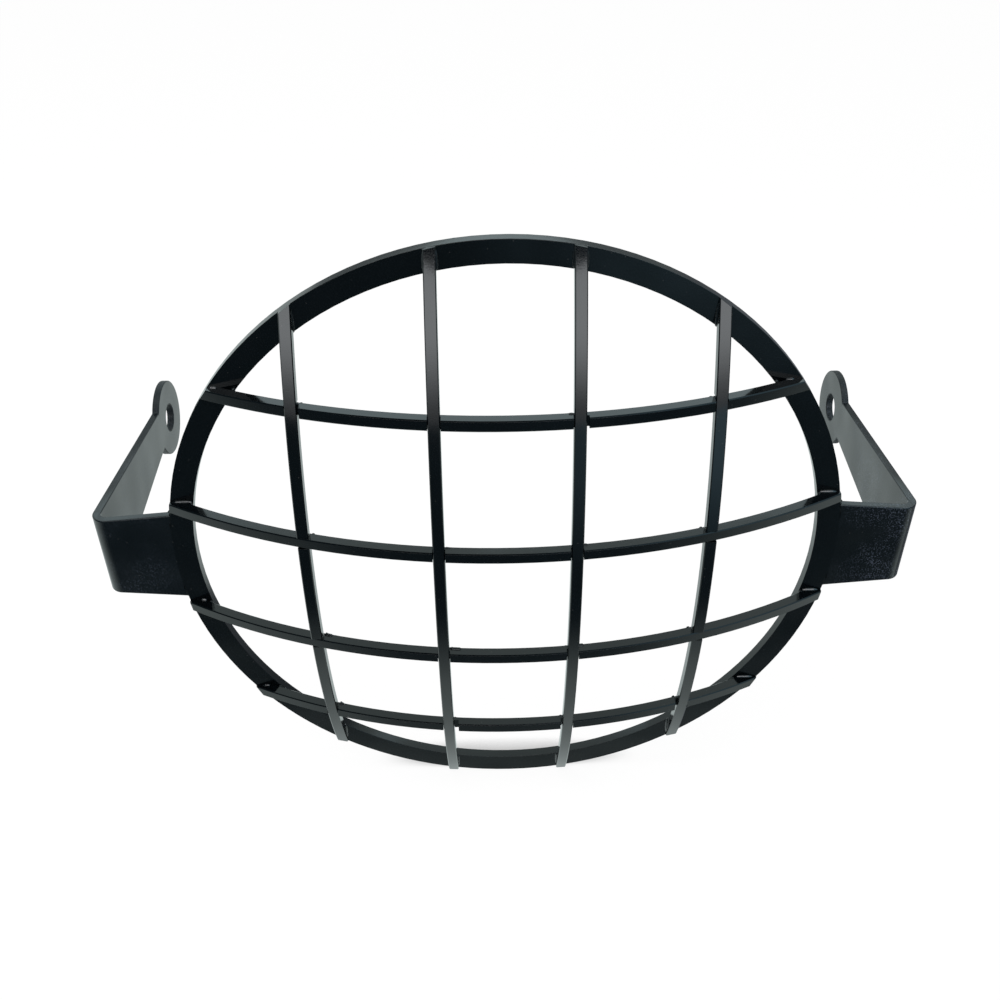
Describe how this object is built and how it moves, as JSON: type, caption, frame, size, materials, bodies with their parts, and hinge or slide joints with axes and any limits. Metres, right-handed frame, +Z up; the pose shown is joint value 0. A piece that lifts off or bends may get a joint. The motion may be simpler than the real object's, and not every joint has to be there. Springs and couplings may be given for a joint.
{
  "type": "motorcycle headlight guard",
  "caption": "Flat steel rim with a domed grid of square bars, and folded side arms whose bolt ears fix it in front of a round headlamp.",
  "frame": {"origin": "midpoint of the bolt axis, halfway between the two ears", "axes": "+X along the bolt axis to the guard's right as seen from the front, +Y back towards the lamp, +Z up; the grid faces -Y"},
  "size_m": [0.2216, 0.1107, 0.18],
  "materials": {
    "black_paint": "satin black paint on steel"
  },
  "bodies": {
    "root": {"rim_ring": "black_paint", "bar_vertical_1": "black_paint", "bar_vertical_2": "black_paint", "bar_vertical_3": "black_paint", "bar_vertical_4": "black_paint", "bar_horizontal_1": "black_paint", "bar_horizontal_2": "black_paint", "bar_horizontal_3": "black_paint", "bar_horizontal_4": "black_paint", "bracket_left": "black_paint", "bracket_right": "black_paint"}
  },
  "joints": []
}
